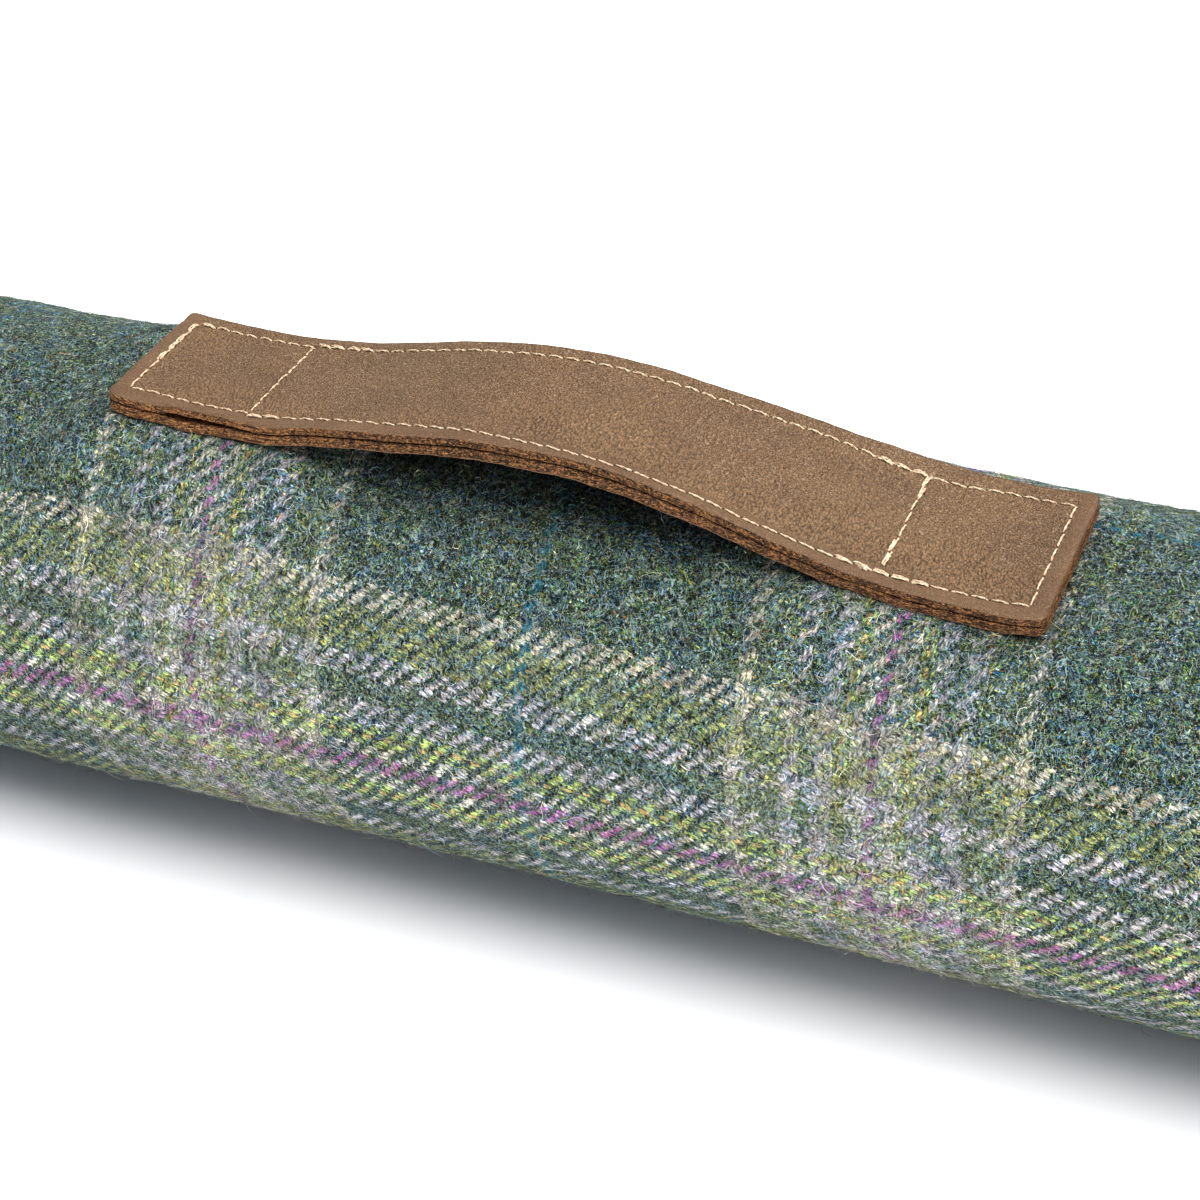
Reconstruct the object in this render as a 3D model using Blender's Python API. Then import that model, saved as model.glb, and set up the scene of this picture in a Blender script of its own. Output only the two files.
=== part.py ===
"""Draught excluder: a filled roll of checked wool cloth with a leather carrying handle.

The cover is one rectangle of cloth, folded along the front and sewn along the back and across both ends,
so the round roll closes to a straight seam with two corners at each end. The handle is two layers of leather
strap, sewn down at its ends, and its middle stands up in a low arch for the hand.

Metres, +Z up, +X along the roll. The origin is on the floor under the middle of the roll.
"""

from math import atan, cos, pi, radians, sin, sqrt, tan

import bmesh
import bpy
from mathutils import Matrix, Vector

# Filled cover
ROLL_LENGTH = 0.900  # from corner to corner of the end seams
ROLL_RADIUS = 0.055
REST_DEPTH = 0.003  # how far the filling flattens where the roll lies on the floor
AXIS_HEIGHT = ROLL_RADIUS - REST_DEPTH
SWELL = 0.0007  # unevenness of the filling

# Ends of the cover, where it goes over from the full round to a straight seam
END_LENGTH = 0.120  # up to the middle of the seam
CORNER_REACH = 0.016  # how far the seam's corners stand out past its middle
CORNER_EXTENT = 6.0  # the higher, the nearer to the seam the corners begin
SEAM_HALF_WIDTH = 0.072
SEAM_THICKNESS = 0.003
SEAM_DROOP = 0.004  # how far an end seam hangs below the roll's axis
CROWN_START = 2.2  # these two powers keep the end plump right up to its seam
CROWN_BLUNTNESS = 3.5
WIDENING = 1.3

# Leather handle
STRAP_LENGTH = 0.2222
STRAP_WIDTH = 0.038
LEATHER_THICKNESS = 0.0023
EDGE_ROUNDING = 0.0006
CORNER_RADIUS = 0.0018
ARCH_RISE = 0.0126
ARCH_HALF_SPAN = 0.092
PIECE_GAP = 0.0003
STRAP_MIDDLE = Vector((0.0012, -0.0024, 0.1108))  # on its top face, were it flat
STRAP_TURN = radians(-1.64)  # it is sewn on slightly askew
STRAP_FALL = radians(1.33)  # and lies lower at its +X end
STRAP_TILTS = (  # distance from the strap's middle, tilt in degrees that raises the far edge
    (-0.060, -3.8),
    (-0.025, 0.0),
    (0.018, 0.0),
    (0.072, 7.0),
)

# Where the handle is sewn down, the cover comes up to it
SEWN_LENGTH = 0.038
SEAT_REACH_ACROSS = 0.030
SEAT_REACH_ALONG = 0.028

# Fineness of the meshes
POINTS_AROUND = 56
RINGS_AT_HANDLE = 30
RINGS_BESIDE_HANDLE = 8
RINGS_AT_END = 11
RING_CROWDING = 2.3  # crowds the rings of an end towards its seam
STRAP_STEPS = 40
STRAP_STRIPS = 4

COLOURS = {
    "tweed": (0.105, 0.130, 0.110),
    "leather_face": (0.185, 0.100, 0.050),
    "leather_back": (0.135, 0.070, 0.036),
}


def smooth(share):
    """0 to 1 with level ends."""
    share = min(max(share, 0.0), 1.0)
    return share * share * (3.0 - 2.0 * share)


def rounded(distance, radius):
    """How far a rounded edge stands back at a distance from the square edge."""
    if distance >= radius:
        return 0.0
    return radius - sqrt(radius * radius - (radius - distance) ** 2)


# ---- handle ----------------------------------------------------------------------------------------------


def strap_matrix():
    turn = Matrix.Rotation(STRAP_TURN, 4, "Z")
    fall = Matrix.Rotation(STRAP_FALL, 4, "Y")
    return Matrix.Translation(STRAP_MIDDLE) @ turn @ fall


def arch_height(x):
    share = min(abs(x) / ARCH_HALF_SPAN, 1.0)
    return ARCH_RISE * 0.5 * (1.0 + cos(pi * share))


def arch_slope(x):
    if abs(x) >= ARCH_HALF_SPAN:
        return 0.0
    return -ARCH_RISE * 0.5 * pi / ARCH_HALF_SPAN * sin(pi * x / ARCH_HALF_SPAN)


def strap_tilt(x):
    """Sideways tilt of the strap, eased between the rows of STRAP_TILTS."""
    if x <= STRAP_TILTS[0][0]:
        return radians(STRAP_TILTS[0][1])
    for (x_before, before), (x_after, after) in zip(STRAP_TILTS, STRAP_TILTS[1:]):
        if x <= x_after:
            share = smooth((x - x_before) / (x_after - x_before))
            return radians(before + (after - before) * share)
    return radians(STRAP_TILTS[-1][1])


def strap_point(x, across, depth):
    """A point of the strap in its own frame: along, across, and down from its top face."""
    slope = atan(arch_slope(x))
    tilt = strap_tilt(x)
    along = Vector((cos(slope), 0.0, sin(slope)))
    sideways = Vector((0.0, cos(tilt), sin(tilt)))
    upward = along.cross(sideways).normalized()
    return Vector((x, 0.0, arch_height(x))) + across * sideways - depth * upward


def strap_stations():
    """Distances along the strap, close together at its rounded ends."""
    half = STRAP_LENGTH / 2
    at_end = [half - CORNER_RADIUS * share for share in (0.0, 0.08, 0.3, 1.0)]
    inner = half - CORNER_RADIUS
    between = [inner - 2 * inner * step / STRAP_STEPS for step in range(1, STRAP_STEPS)]
    return at_end + between + [-x for x in reversed(at_end)]


def layer_ring(x, top, bottom, rounded_side):
    """Outline of one leather layer across the strap. rounded_side is +1 if its top edges are worn round."""
    from_end = STRAP_LENGTH / 2 - abs(x)
    half_width = STRAP_WIDTH / 2 - rounded(from_end, CORNER_RADIUS)
    edge = EDGE_ROUNDING
    standing_back = rounded(from_end, edge)
    corner = edge * (1.0 - sqrt(0.5))
    profile = [(half_width, edge), (half_width - corner, corner), (half_width - edge, 0.0)]
    inner = [1.0 - 2.0 * step / STRAP_STRIPS for step in range(1, STRAP_STRIPS)]
    face = [(share * (half_width - edge), 0.0) for share in inner]
    worn = profile + face + [(-across, depth) for across, depth in reversed(profile)]
    square = [(share * half_width, bottom - top) for share in (-1.0, *reversed(inner), 1.0)]
    outline = [(across, max(depth, standing_back)) for across, depth in worn] + square
    if rounded_side > 0:
        return [strap_point(x, across, top + depth) for across, depth in outline]
    return [strap_point(x, across, bottom - depth) for across, depth in reversed(outline)]


def underside_height(x, across):
    """Height of the handle's underside in the strap's own frame."""
    tilt = strap_tilt(x)
    thickness = (2 * LEATHER_THICKNESS + PIECE_GAP) / cos(tilt) / cos(atan(arch_slope(x)))
    return arch_height(x) + across * tan(tilt) - thickness


# ---- filled cover ----------------------------------------------------------------------------------------


def fill_swell(x, angle):
    """Soft unevenness of the filling, the same on every run."""
    slow = sin(2 * pi * x / 0.310 + 0.8) * cos(angle - 0.6)
    quick = sin(2 * pi * x / 0.173 - 1.1 + 2 * angle)
    clear_of_floor = smooth((sin(angle) + 0.85) / 0.35)
    return SWELL * (0.6 * slow + 0.4 * quick) * clear_of_floor


def handle_seat(x, y):
    """How the handle shapes the cover at a place: the share of its pull, the lift that brings the round
    roll up or down to its underside, and whether the place lies under the strap."""
    local = strap_matrix().inverted() @ Vector((x, y, STRAP_MIDDLE.z))
    half_length = STRAP_LENGTH / 2
    half_width = STRAP_WIDTH / 2
    sewn_middle = half_length - SEWN_LENGTH / 2
    beyond_along = max(abs(abs(local.x) - sewn_middle) - SEWN_LENGTH / 2, 0.0)
    beyond_across = max(abs(local.y) - half_width, 0.0)
    pull = (1.0 - smooth(beyond_along / SEAT_REACH_ALONG)) * (1.0 - smooth(beyond_across / SEAT_REACH_ACROSS))
    nearest_x = min(max(local.x, -half_length), half_length)
    nearest_y = min(max(local.y, -half_width), half_width)
    spot = strap_matrix() @ Vector((nearest_x, nearest_y, underside_height(nearest_x, nearest_y)))
    free_height = AXIS_HEIGHT + sqrt(ROLL_RADIUS**2 - spot.y**2)
    covered = abs(local.x) < half_length + PIECE_GAP and abs(local.y) < half_width + PIECE_GAP
    return pull, spot.z - PIECE_GAP - free_height, covered


def round_ring(x):
    """Section of the roll: round, flat where it rests, and seated against the handle."""
    ring = []
    for step in range(POINTS_AROUND):
        angle = 2 * pi * step / POINTS_AROUND
        swell = fill_swell(x, angle)
        lift = 0.0
        if sin(angle) > 0.0:
            pull, reach, covered = handle_seat(x, ROLL_RADIUS * cos(angle))
            swell *= 1.0 - pull
            lift = pull * reach
            if covered:
                swell = min(swell, 0.0)
                lift = min(lift, reach)
        y = (ROLL_RADIUS + swell) * cos(angle)
        z = AXIS_HEIGHT + (ROLL_RADIUS + swell) * sin(angle) + lift
        ring.append(Vector((x, y, max(z, 0.0))))
    return ring


def end_ring(side, inward):
    """Section of an end, from the sewn seam at inward 0 to the full round at inward 1."""
    half_seam = SEAM_THICKNESS / 2
    outward = 1.0 - inward
    crown = (1.0 - outward**CROWN_START) ** (1.0 / CROWN_BLUNTNESS)
    half_height = half_seam + (ROLL_RADIUS - half_seam) * crown
    half_width = ROLL_RADIUS + (SEAM_HALF_WIDTH - ROLL_RADIUS) * outward**WIDENING
    middle = AXIS_HEIGHT - SEAM_DROOP * outward**2
    full_round = ROLL_LENGTH / 2 - CORNER_REACH - END_LENGTH
    ring = []
    for step in range(POINTS_AROUND):
        angle = 2 * pi * step / POINTS_AROUND
        corner = CORNER_REACH * abs(cos(angle)) ** 2 * outward**CORNER_EXTENT
        uneven = smooth(inward) * fill_swell(side * full_round, angle)
        x = side * (full_round + END_LENGTH * outward + corner)
        y = (half_width + uneven) * cos(angle)
        z = middle + (half_height + uneven) * sin(angle)
        ring.append(Vector((x, y, max(z, 0.0))))
    return ring


def cover_rings():
    """All sections from the -X seam to the +X seam."""
    start = ROLL_LENGTH / 2 - CORNER_REACH - END_LENGTH
    near_handle = STRAP_LENGTH / 2 + SEAT_REACH_ALONG + abs(STRAP_MIDDLE.x)
    opening = [(step / RINGS_AT_END) ** RING_CROWDING for step in range(RINGS_AT_END)]
    rings = [end_ring(-1, inward) for inward in opening]
    for step in range(RINGS_BESIDE_HANDLE):
        rings.append(round_ring(-start + (start - near_handle) * step / RINGS_BESIDE_HANDLE))
    for step in range(RINGS_AT_HANDLE + 1):
        rings.append(round_ring(-near_handle + 2 * near_handle * step / RINGS_AT_HANDLE))
    for step in range(1, RINGS_BESIDE_HANDLE + 1):
        rings.append(round_ring(near_handle + (start - near_handle) * step / RINGS_BESIDE_HANDLE))
    rings += [end_ring(1, inward) for inward in reversed(opening)]
    return rings


# ---- meshes ----------------------------------------------------------------------------------------------


def loft(name, rings, close_end):
    """A closed mesh through rings of equal length. close_end(bm, ring) fills each end ring."""
    bm = bmesh.new()
    loops = [[bm.verts.new(point) for point in ring] for ring in rings]
    count = len(rings[0])
    for before, after in zip(loops, loops[1:]):
        for i in range(count):
            j = (i + 1) % count
            bm.faces.new((before[i], before[j], after[j], after[i]))
    close_end(bm, loops[0])
    close_end(bm, loops[-1])
    bmesh.ops.recalc_face_normals(bm, faces=bm.faces)
    mesh = bpy.data.meshes.new(name)
    bm.to_mesh(mesh)
    bm.free()
    return mesh


def close_seam(bm, ring):
    """Joins the upper and lower edge of the cover across its thin end."""
    count = len(ring)
    for i in range(count // 2):
        upper = (ring[i], ring[i + 1])
        lower = (ring[(count - i - 1) % count], ring[(count - i) % count])
        corners = list(dict.fromkeys((*upper, *lower)))
        bm.faces.new(corners)


def close_flat(bm, ring):
    bm.faces.new(ring)


def finish(name, colour, roughness):
    material = bpy.data.materials.new(name)
    material.use_nodes = True
    shader = material.node_tree.nodes["Principled BSDF"]
    shader.inputs["Base Color"].default_value = (*colour, 1.0)
    shader.inputs["Roughness"].default_value = roughness
    shader.inputs["Metallic"].default_value = 0.0
    return material


def place(name, mesh, material, parent, sharp_degrees):
    mesh.shade_smooth()
    mesh.set_sharp_from_angle(angle=radians(sharp_degrees))
    mesh.materials.append(material)
    piece = bpy.data.objects.new(name, mesh)
    bpy.context.scene.collection.objects.link(piece)
    piece.parent = parent
    return piece


def make_cover(parent):
    mesh = loft("filled_cover", cover_rings(), close_seam)
    return place("filled_cover", mesh, finish("tweed", COLOURS["tweed"], 0.95), parent, 50)


def make_handle(parent):
    top = LEATHER_THICKNESS
    under = top + PIECE_GAP
    layers = (
        ("handle_top_layer", 0.0, top, 1, "leather_face"),
        ("handle_under_layer", under, under + LEATHER_THICKNESS, -1, "leather_back"),
    )
    pieces = []
    for name, upper, lower, rounded_side, colour in layers:
        rings = [layer_ring(x, upper, lower, rounded_side) for x in strap_stations()]
        mesh = loft(name, rings, close_flat)
        piece = place(name, mesh, finish(colour, COLOURS[colour], 0.7), parent, 30)
        piece.matrix_local = strap_matrix()
        pieces.append(piece)
    return pieces


def clear_scene():
    for item in list(bpy.data.objects):
        bpy.data.objects.remove(item)


clear_scene()
excluder = bpy.data.objects.new("draught_excluder", None)
bpy.context.scene.collection.objects.link(excluder)
make_cover(excluder)
make_handle(excluder)
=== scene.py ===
"""Looks of a draught excluder: checked wool tweed over its filled roll, and a stitched leather handle.

Metres, +Z up, +X along the roll, with the roll's front towards -Y.
"""

import math

import bmesh
import bpy
import numpy as np
from mathutils import Matrix, Vector


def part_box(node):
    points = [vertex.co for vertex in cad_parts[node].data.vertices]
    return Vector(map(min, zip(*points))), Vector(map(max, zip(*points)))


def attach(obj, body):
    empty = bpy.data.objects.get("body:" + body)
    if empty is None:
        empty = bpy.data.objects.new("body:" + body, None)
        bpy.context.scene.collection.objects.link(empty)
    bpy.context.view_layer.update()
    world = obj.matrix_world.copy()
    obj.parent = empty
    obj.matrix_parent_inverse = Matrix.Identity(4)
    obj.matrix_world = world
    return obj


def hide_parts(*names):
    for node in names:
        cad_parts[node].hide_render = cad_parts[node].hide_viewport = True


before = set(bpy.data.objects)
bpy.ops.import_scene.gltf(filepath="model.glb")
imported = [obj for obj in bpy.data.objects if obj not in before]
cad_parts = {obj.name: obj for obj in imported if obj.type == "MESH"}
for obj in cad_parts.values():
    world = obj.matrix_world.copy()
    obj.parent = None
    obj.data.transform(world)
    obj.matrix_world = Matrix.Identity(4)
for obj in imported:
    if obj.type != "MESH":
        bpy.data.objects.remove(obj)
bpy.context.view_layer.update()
mm = 0.001


# ---- Filled cover -------------------------------------------------------------------------------------
# One rectangle of wool tweed, folded along the front, sewn along the back and across both ends, turned
# and filled. The filling flattens where the roll lies on the floor, and the cloth comes up to the handle
# where that is sewn down.

cover_low, cover_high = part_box("filled_cover")
roll_length = cover_high.x - cover_low.x
roll_radius = 55 * mm
axis_height = roll_radius - 3 * mm
fill_unevenness = 0.7 * mm
end_length = 120 * mm
corner_reach = 16 * mm
corner_extent = 6.0
seam_half_width = cover_high.y
seam_thickness = 3 * mm
seam_droop = 4 * mm
crown_start = 2.2
crown_bluntness = 3.5
widening = 1.3
full_round = roll_length / 2 - corner_reach - end_length

# Measures of the handle, which also shape the cover where it is sewn down
strap_length = 222.2 * mm
strap_width = 38 * mm
leather_thickness = 2.3 * mm
piece_gap = 0.3 * mm
half_length = strap_length / 2
half_width = strap_width / 2
strap_thickness = 2 * leather_thickness + piece_gap
arch_rise = 12.6 * mm
arch_half_span = 92 * mm
strap_middle = Vector((1.2 * mm, -2.4 * mm, 110.8 * mm))
strap_turn = math.radians(-1.64)
strap_fall = math.radians(1.33)
strap_tilts = ((-60 * mm, -3.8), (-25 * mm, 0.0), (18 * mm, 0.0), (72 * mm, 7.0))
sewn_length = 38 * mm
seat_reach_across = 30 * mm
seat_reach_along = 28 * mm
strap_place = (
    Matrix.Translation(strap_middle)
    @ Matrix.Rotation(strap_turn, 4, "Z")
    @ Matrix.Rotation(strap_fall, 4, "Y")
)


def smooth(share):
    """0 to 1 with level ends."""
    share = np.clip(share, 0.0, 1.0)
    return share * share * (3.0 - 2.0 * share)


def bell(distance, width):
    return np.exp(-((distance / width) ** 2))


def arch_height(along):
    return arch_rise * 0.5 * (1.0 + np.cos(np.pi * np.minimum(np.abs(along) / arch_half_span, 1.0)))


def arch_slope(along):
    inside = np.abs(along) < arch_half_span
    return -arch_rise * 0.5 * np.pi / arch_half_span * np.sin(np.pi * along / arch_half_span) * inside


def strap_tilt(along):
    """Sideways tilt of the strap in radians, which raises its far edge."""
    tilt = np.full_like(along, math.radians(strap_tilts[0][1]))
    for (before_at, before), (after_at, after) in zip(strap_tilts, strap_tilts[1:]):
        share = smooth((along - before_at) / (after_at - before_at))
        tilt = tilt + math.radians(after - before) * share
    return tilt


def placed(matrix, x, y, z):
    """Points moved by a matrix, as one array."""
    points = np.stack(np.broadcast_arrays(x, y, z, 1.0), -1)
    return (points @ np.array(matrix).T)[..., :3]


def fill_swell(x, angle):
    slow = np.sin(2 * np.pi * x / 0.310 + 0.8) * np.cos(angle - 0.6)
    quick = np.sin(2 * np.pi * x / 0.173 - 1.1 + 2 * angle)
    clear_of_floor = smooth((np.sin(angle) + 0.85) / 0.35)
    return fill_unevenness * (0.6 * slow + 0.4 * quick) * clear_of_floor


def handle_seat(x, y):
    """How the handle shapes the cover at a place: the share of its pull, the lift that brings the round
    roll to its underside, and whether the place lies under the strap."""
    local = placed(strap_place.inverted(), x, y, strap_middle.z)
    along, across = local[..., 0], local[..., 1]
    beyond_along = np.maximum(np.abs(np.abs(along) - half_length + sewn_length / 2) - sewn_length / 2, 0.0)
    beyond_across = np.maximum(np.abs(across) - half_width, 0.0)
    pull = (1 - smooth(beyond_along / seat_reach_along)) * (1 - smooth(beyond_across / seat_reach_across))
    near_along = np.clip(along, -half_length, half_length)
    near_across = np.clip(across, -half_width, half_width)
    tilt = strap_tilt(near_along)
    both_layers = strap_thickness / np.cos(tilt) / np.cos(np.arctan(arch_slope(near_along)))
    underside = arch_height(near_along) + near_across * np.tan(tilt) - both_layers
    spot = placed(strap_place, near_along, near_across, underside)
    free_height = axis_height + np.sqrt(roll_radius**2 - spot[..., 1] ** 2)
    covered = (np.abs(along) < half_length + piece_gap) & (np.abs(across) < half_width + piece_gap)
    return pull, spot[..., 2] - piece_gap - free_height, covered


def round_section(x, angle):
    swell = fill_swell(x, angle)
    pull, reach, covered = handle_seat(x, roll_radius * np.cos(angle))
    above = np.sin(angle) > 0.0
    lift = np.where(above, pull * reach, 0.0)
    swell = np.where(above, swell * (1 - pull), swell)
    swell = np.where(above & covered, np.minimum(swell, 0.0), swell)
    lift = np.where(above & covered, np.minimum(lift, reach), lift)
    y = (roll_radius + swell) * np.cos(angle)
    z = axis_height + (roll_radius + swell) * np.sin(angle) + lift
    return np.stack(np.broadcast_arrays(x, y, np.maximum(z, 0.0)), -1)


def end_section(side, inward, angle):
    """Section of an end, from the sewn seam at inward 0 to the full round at inward 1."""
    outward = 1.0 - inward
    crown = (1.0 - outward**crown_start) ** (1.0 / crown_bluntness)
    half_height = seam_thickness / 2 + (roll_radius - seam_thickness / 2) * crown
    half_wide = roll_radius + (seam_half_width - roll_radius) * outward**widening
    corner = corner_reach * np.cos(angle) ** 2 * outward**corner_extent
    uneven = smooth(inward) * fill_swell(side * full_round, angle)
    x = side * (full_round + end_length * outward + corner)
    y = (half_wide + uneven) * np.cos(angle)
    z = axis_height - seam_droop * outward**2 + (half_height + uneven) * np.sin(angle)
    return np.stack([x, y, np.maximum(z, 0.0)], -1)


def evenly(section, count):
    """The same line with its points at even distances."""
    reach = np.concatenate([[0.0], np.cumsum(np.linalg.norm(np.diff(section, axis=0), axis=1))])
    wanted = np.linspace(0.0, reach[-1], count + 1)
    return np.stack([np.interp(wanted, reach, section[:, k]) for k in range(3)], 1)


columns_a_half = 72
fine_columns = 600
groove_depth = 2.2 * mm
groove_rings = 3
upper = np.pi - np.pi * np.linspace(0.0, 1.0, fine_columns)
lower = np.pi + np.pi * np.linspace(0.0, 1.0, fine_columns)


def cloth_ring(section_at):
    """Points from the back seam, under the roll to the front fold, and over its top to the seam again."""
    over = evenly(section_at(upper), columns_a_half)
    under = evenly(section_at(lower), columns_a_half)
    return np.concatenate([under[:0:-1], over])


def seam_rings(side):
    """The rings that turn in at an end seam, from the deepest outwards."""
    edge = cloth_ring(lambda angle: end_section(side, 0.0, angle))
    middle = axis_height - seam_droop
    rings = []
    for step in range(groove_rings, 0, -1):
        share = step / groove_rings
        ring = edge.copy()
        ring[:, 2] = middle + (edge[:, 2] - middle) * (1.0 - 0.8 * share)
        ring[:, 0] -= side * groove_depth * share * smooth((seam_half_width - np.abs(edge[:, 1])) / (8 * mm))
        rings.append(ring)
    return rings


end_steps = (np.arange(46) / 46) ** 2.0
round_steps = np.linspace(-full_round, full_round, 280)
left_end = [cloth_ring(lambda angle, t=t: end_section(-1, t, angle)) for t in end_steps]
middle_rings = [cloth_ring(lambda angle, x=x: round_section(x, angle)) for x in round_steps]
right_end = [cloth_ring(lambda angle, t=t: end_section(1, t, angle)) for t in end_steps[::-1]]
cloth = np.array(seam_rings(-1) + left_end + middle_rings + right_end + seam_rings(1)[::-1])

# Where each point lies on the flat cloth, along it and around from the fold
ring_steps = np.linalg.norm(np.diff(cloth, axis=0), axis=2).mean(axis=1)
cloth_along = np.concatenate([[0.0], np.cumsum(ring_steps)])
cloth_along = cloth_along - cloth_along[-1] / 2
cloth_around = np.linspace(-1.0, 1.0, 2 * columns_a_half + 1) * np.pi * roll_radius


def facing(points):
    """Outward directions of a sheet of points."""
    normal = np.cross(np.gradient(points, axis=0), np.gradient(points, axis=1))
    return normal / np.maximum(np.linalg.norm(normal, axis=2, keepdims=True), 1e-12)


def ripple(place, lengths, starts):
    """Uneven waves from a few wavelengths, between about -1 and 1."""
    waves = [np.sin(2 * np.pi * place / length + start) for length, start in zip(lengths, starts)]
    return sum(waves) / len(lengths)


from_end = full_round + end_length - np.abs(cloth[..., 0])
end_share = np.abs(cloth[..., 1]) / seam_half_width
puckers = ripple(cloth[..., 1] + 0.3 * cloth[..., 2], (11 * mm, 7.3 * mm, 17 * mm), (0.4, 2.1, 4.0))
pucker_height = 1.5 * mm * np.exp(-np.maximum(from_end, 0.0) / (13 * mm)) * (1 - end_share**4)
back_distance = np.pi * roll_radius - np.abs(cloth_around)[None, :]
seam_pull = 1.3 * mm + 0.3 * mm * ripple(cloth_along, (23 * mm, 9.7 * mm), (0.0, 1.0))[:, None]
back_seam = seam_pull * bell(back_distance, 2.6 * mm) - 0.4 * mm * bell(back_distance - 7 * mm, 4 * mm)
softness = ripple(cloth[..., 0] + 0.7 * cloth[..., 2], (61 * mm, 37 * mm, 23 * mm), (1.0, 0.2, 3.0))
softness = softness * ripple(cloth[..., 1] - 0.4 * cloth[..., 0], (53 * mm, 29 * mm), (2.0, 0.5))
clear = smooth(cloth[..., 2] / (12 * mm)) * (1 - smooth((cloth[..., 2] - 98 * mm) / (6 * mm)))
inside_ends = smooth((from_end - 2 * mm) / (20 * mm))
relief = puckers * pucker_height - back_seam * inside_ends + 0.7 * mm * softness * clear * inside_ends
relief[:groove_rings] = 0.0
relief[-groove_rings:] = 0.0
cloth = cloth + facing(cloth) * relief[..., None]
cloth[:, 0] = cloth[:, -1] = (cloth[:, 0] + cloth[:, -1]) / 2
cloth[..., 2] = np.maximum(cloth[..., 2], 0.0)
outward = facing(cloth)

# The check lies slightly askew on the roll
check_skew_around = -0.0547
check_skew_along = -0.0243
skew_limit = 180 * mm
around, along = np.meshgrid(cloth_around, cloth_along)
turned = check_skew_around * skew_limit * np.tanh(along / skew_limit)
check_around = (around - turned) / (1 - check_skew_around * check_skew_along)
check_along = along - check_skew_along * check_around
cloth_places = np.stack([check_along, check_around], -1)


def new_piece(name, points, quads, triangles=()):
    """An object from arrays of points, four-cornered faces and three-cornered faces."""
    quads = np.asarray(quads, np.int32).reshape(-1, 4)
    triangles = np.asarray(triangles, np.int32).reshape(-1, 3)
    corners = np.concatenate([quads.ravel(), triangles.ravel()])
    starts = np.concatenate([4 * np.arange(len(quads)), quads.size + 3 * np.arange(len(triangles))])
    mesh = bpy.data.meshes.new(name)
    mesh.vertices.add(len(points))
    mesh.vertices.foreach_set("co", np.asarray(points, np.float32).ravel())
    mesh.loops.add(len(corners))
    mesh.loops.foreach_set("vertex_index", corners)
    mesh.polygons.add(len(starts))
    mesh.polygons.foreach_set("loop_start", starts.astype(np.int32))
    mesh.update(calc_edges=True)
    return linked(name, mesh)


def linked(name, mesh):
    mesh.shade_smooth()
    piece = bpy.data.objects.new(name, mesh)
    bpy.context.scene.collection.objects.link(piece)
    return piece


def add_map(piece, name, places):
    """A flat map of the piece, given for each corner of its faces."""
    layer = piece.data.uv_layers.new(name=name)
    layer.data.foreach_set("uv", np.asarray(places, np.float32).ravel())


def add_mark(piece, name, values):
    """A number for each point of the piece."""
    marks = piece.data.attributes.new(name, "FLOAT", "POINT")
    marks.data.foreach_set("value", values.astype(np.float32).ravel())


def dyed(red, green, blue):
    """A colour as light, from its tones of 0 to 255."""
    return tuple(((tone / 255 + 0.055) / 1.055) ** 2.4 for tone in (red, green, blue)) + (1.0,)


class Number:
    """A number that a finish works out for each place on the surface, for sums with plain signs."""

    def __init__(self, finish, socket):
        self.finish = finish
        self.socket = socket


signs = {"add": "ADD", "sub": "SUBTRACT", "mul": "MULTIPLY", "truediv": "DIVIDE", "mod": "FLOORED_MODULO"}
signs.update({"lt": "LESS_THAN", "gt": "GREATER_THAN"})
for sign, way in signs.items():
    setattr(Number, f"__{sign}__", lambda one, other, way=way: one.finish.reckon(way, one, other))


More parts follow.
